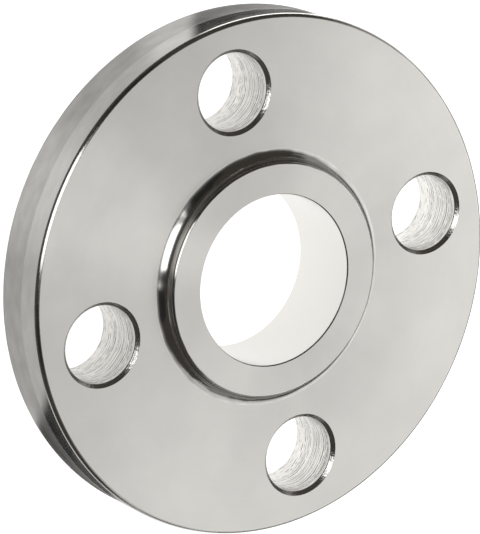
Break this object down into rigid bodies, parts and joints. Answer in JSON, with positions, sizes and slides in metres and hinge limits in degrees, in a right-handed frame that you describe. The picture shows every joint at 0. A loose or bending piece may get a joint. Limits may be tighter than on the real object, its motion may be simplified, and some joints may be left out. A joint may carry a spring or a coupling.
{
  "type": "slip on flange",
  "caption": "Round stainless slip-on pipe flange: a thick turned plate with a low filleted hub, a through bore, a ring of bolt holes and a raised gasket face.",
  "frame": {"origin": "centre of the raised gasket face, the face that the flange lies on", "axes": "+Z along the flange's axis from the gasket face towards the hub; +X midway between two neighbouring bolt holes"},
  "size_m": [0.1076, 0.1076, 0.0175],
  "materials": {
    "machined_stainless_steel": "bare, fine turned faces, polished hub fillet and edges, drilled holes"
  },
  "bodies": {
    "root": {"slip_on_flange": "machined_stainless_steel"}
  },
  "joints": []
}
